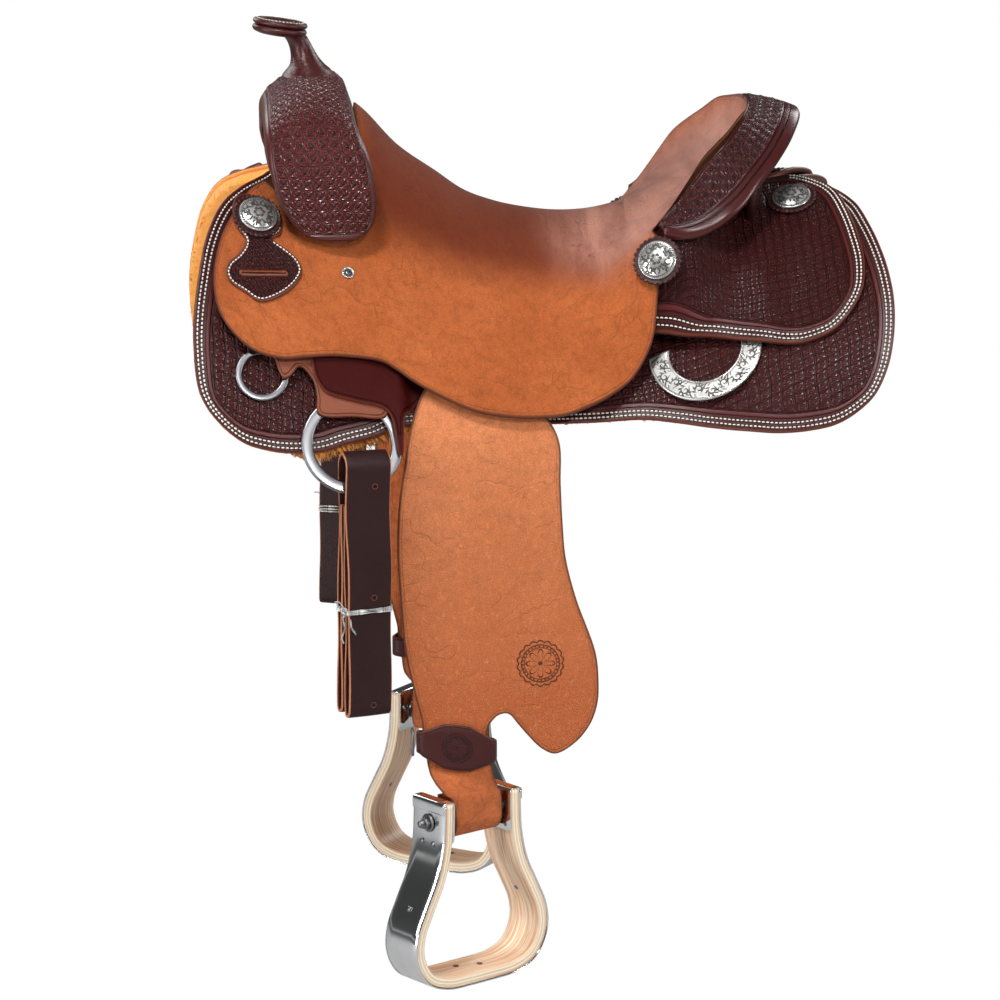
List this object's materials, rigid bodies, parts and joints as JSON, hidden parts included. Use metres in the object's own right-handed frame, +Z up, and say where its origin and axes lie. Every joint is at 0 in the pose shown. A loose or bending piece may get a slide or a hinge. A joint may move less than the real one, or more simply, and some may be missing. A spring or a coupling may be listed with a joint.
{
  "type": "western pleasure saddle",
  "caption": "Western pleasure saddle: stamped skirts, roughout seat and fenders, horn, rolled cantle, rigging rings, hanging straps and metal-bound stirrups.",
  "frame": {"origin": "on the underside of the saddle, on the centre line between the two fleeces, at mid length, where a rack's rail or the horse's spine carries it", "axes": "+X to the rear (cantle), -X to the front (horn), +Y to the off (right) side, -Y to the near (left) side, +Z up"},
  "size_m": [0.6823, 0.5264, 0.9453],
  "materials": {
    "fleece": "woolly pile",
    "tooled_leather": "stamped, semi-gloss",
    "smooth_leather": "smooth, semi-gloss",
    "rolled_leather": "smooth, rolled edge",
    "dark_leather": "smooth, semi-gloss",
    "black_latigo": "oiled, satin",
    "roughout_leather": "roughout, matt",
    "tree_wood": "matt",
    "laminated_wood": "varnished laminate",
    "tie_lace": "matt white lace",
    "polished_steel": "polished",
    "satin_steel": "satin",
    "engraved_silver": "engraved, polished"
  },
  "bodies": {
    "saddle": {"fleece_left": "fleece", "skirt_left": "tooled_leather", "rear_housing_left": "tooled_leather", "tree_bar_left": "tree_wood", "rigging_plate_left": "rolled_leather", "rigging_cover_left": "smooth_leather", "latigo_keeper_left": "smooth_leather", "rosette_seat_left": "dark_leather", "rosette_rear_left": "dark_leather", "concho_front_left": "engraved_silver", "concho_seat_left": "engraved_silver", "concho_rear_left": "engraved_silver", "seat_screw_left": "satin_steel", "rear_dee_left": "engraved_silver", "fleece_right": "fleece", "skirt_right": "tooled_leather", "rear_housing_right": "tooled_leather", "tree_bar_right": "tree_wood", "rigging_plate_right": "rolled_leather", "rigging_cover_right": "smooth_leather", "latigo_keeper_right": "smooth_leather", "rosette_seat_right": "dark_leather", "rosette_rear_right": "dark_leather", "concho_front_right": "engraved_silver", "concho_seat_right": "engraved_silver", "concho_rear_right": "engraved_silver", "seat_screw_right": "satin_steel", "rear_dee_right": "engraved_silver", "seat_leather": "roughout_leather", "ground_seat": "tree_wood", "swell_cover": "tooled_leather", "tree_fork": "tree_wood", "horn_neck": "smooth_leather", "horn_cap_lower": "smooth_leather", "horn_cap_top": "smooth_leather", "cheyenne_roll": "tooled_leather", "cantle_back": "smooth_leather"},
    "fender_left_swing_body": {"fender_left": "roughout_leather", "stirrup_leather_left": "roughout_leather", "hobble_strap_left": "dark_leather", "hobble_buckle_left": "satin_steel"},
    "stirrup_left_body": {"stirrup_wood_left": "laminated_wood", "stirrup_shell_left": "polished_steel", "stirrup_bolt_left": "satin_steel"},
    "ring_left_body": {"front_dee_left": "satin_steel"},
    "strap_left_body": {"latigo_left": "black_latigo", "strap_tie_left": "tie_lace"},
    "breast_dee_left_body": {"breast_dee_left": "satin_steel"},
    "fender_right_swing_body": {"fender_right": "roughout_leather", "stirrup_leather_right": "roughout_leather", "hobble_strap_right": "dark_leather", "hobble_buckle_right": "satin_steel"},
    "stirrup_right_body": {"stirrup_wood_right": "laminated_wood", "stirrup_shell_right": "polished_steel", "stirrup_bolt_right": "satin_steel"},
    "ring_right_body": {"front_dee_right": "satin_steel"},
    "strap_right_body": {"off_billet_right": "black_latigo", "strap_tie_right": "tie_lace"},
    "breast_dee_right_body": {"breast_dee_right": "satin_steel"}
  },
  "joints": [
    {"name": "fender_left_swing", "type": "hinge", "parent": "saddle", "child": "fender_left_swing_body", "pos_m": [-0.0845, -0.12, -0.03], "axis": [0, -1, 0], "range_deg": [0, 9]},
    {"name": "stirrup_left_swing", "type": "hinge", "parent": "fender_left_swing_body", "child": "stirrup_left_body", "pos_m": [-0.09, -0.1935, -0.537], "axis": [0.8192, 0.5736, 0], "range_deg": [-25, 25]},
    {"name": "ring_left_lift", "type": "hinge", "parent": "saddle", "child": "ring_left_body", "pos_m": [-0.18821, -0.18084, -0.12157], "axis": [-0.9403, 0.05, 0.3368], "range_deg": [0, 4]},
    {"name": "strap_left_lift", "type": "hinge", "parent": "ring_left_body", "child": "strap_left_body", "pos_m": [-0.21686, -0.21921, -0.19587], "axis": [-1, 0, 0], "range_deg": [0, 4]},
    {"name": "breast_dee_left_lift", "type": "hinge", "parent": "saddle", "child": "breast_dee_left_body", "pos_m": [-0.27823, -0.16967, -0.07387], "axis": [-0.8782, 0.0634, 0.474], "range_deg": [0, 10]},
    {"name": "fender_right_swing", "type": "hinge", "parent": "saddle", "child": "fender_right_swing_body", "pos_m": [-0.0845, 0.12, -0.03], "axis": [0, -1, 0], "range_deg": [0, 9]},
    {"name": "stirrup_right_swing", "type": "hinge", "parent": "fender_right_swing_body", "child": "stirrup_right_body", "pos_m": [-0.09, 0.1935, -0.537], "axis": [0.8192, -0.5736, 0], "range_deg": [-25, 25]},
    {"name": "ring_right_lift", "type": "hinge", "parent": "saddle", "child": "ring_right_body", "pos_m": [-0.18821, 0.18084, -0.12157], "axis": [0.9403, 0.05, -0.3368], "range_deg": [0, 4]},
    {"name": "strap_right_lift", "type": "hinge", "parent": "ring_right_body", "child": "strap_right_body", "pos_m": [-0.21686, 0.21921, -0.19587], "axis": [1, 0, 0], "range_deg": [0, 4]},
    {"name": "breast_dee_right_lift", "type": "hinge", "parent": "saddle", "child": "breast_dee_right_body", "pos_m": [-0.27823, 0.16967, -0.07387], "axis": [0.8782, 0.0634, -0.474], "range_deg": [0, 10]}
  ]
}
